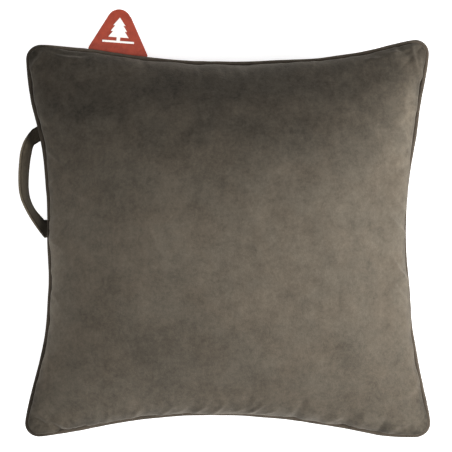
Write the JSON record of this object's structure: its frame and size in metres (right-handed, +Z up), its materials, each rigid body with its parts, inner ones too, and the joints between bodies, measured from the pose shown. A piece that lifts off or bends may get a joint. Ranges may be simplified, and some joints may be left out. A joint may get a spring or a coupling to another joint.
{
  "type": "camp pillow",
  "caption": "Square crowned camp pillow with a piped seam, a sewn-in carrying loop on one side, a rounded triangular tag, a zip in the lower seam and a fibre-filled insert.",
  "frame": {"origin": "on the floor under the middle of the pillow, at the flat of its back", "axes": "+Z up out of the front face, +Y towards the side with the tag, +X away from the side with the carrying loop"},
  "size_m": [0.4389, 0.4545, 0.148],
  "materials": {
    "velvet": "short-pile velvet, dark olive taupe",
    "piping_velvet": "the same velvet drawn tight round a cord",
    "cotton": "plain woven, undyed",
    "fibre": "loose polyester fibre",
    "tag_leather": "smooth, matte, fine grain",
    "white_print": "matte raised print",
    "zip_tape": "woven tape",
    "zip_nylon": "satin nylon coil",
    "zip_metal": "dull enamel on zinc alloy"
  },
  "bodies": {
    "cushion": {"front_panel": "velvet", "back_panel": "velvet", "piping_sleeve": "piping_velvet", "piping_cord": "cotton", "handle_sewn_end_upper": "velvet", "handle_sewn_end_lower": "velvet", "tag_sewn_edge": "tag_leather", "zip_tape_upper": "zip_tape", "zip_tape_lower": "zip_tape", "zip_coil_upper": "zip_nylon", "zip_coil_lower": "zip_nylon", "zip_top_stop": "zip_nylon", "zip_bottom_stop": "zip_nylon", "inner_casing_front": "cotton", "inner_casing_back": "cotton", "inner_filling": "fibre"},
    "handle": {"carry_handle": "velvet"},
    "tag_flap": {"tag": "tag_leather", "tag_print": "white_print"},
    "slider": {"zip_slider": "zip_metal"},
    "pull": {"zip_pull": "zip_metal"}
  },
  "joints": [
    {"name": "handle_swing", "type": "hinge", "parent": "cushion", "child": "handle", "pos_m": [-0.20698, 0.11076, 0.0581], "axis": [-0.1151, 0.9933, 0], "range_deg": [-90, 84]},
    {"name": "tag_flex", "type": "hinge", "parent": "cushion", "child": "tag_flap", "pos_m": [-0.14749, 0.20733, 0.0584], "axis": [0.9896, -0.1441, 0], "range_deg": [-80, 80]},
    {"name": "zip_travel", "type": "hinge", "parent": "cushion", "child": "slider", "pos_m": [0, -0.8751, 0.05478], "axis": [0, 0, -1], "range_deg": [0, 22.37]},
    {"name": "pull_swing", "type": "hinge", "parent": "slider", "child": "pull", "pos_m": [-0.13451, -0.19485, 0.05478], "axis": [-0.0789, 0.399, -0.9135], "range_deg": [0, 170]}
  ]
}
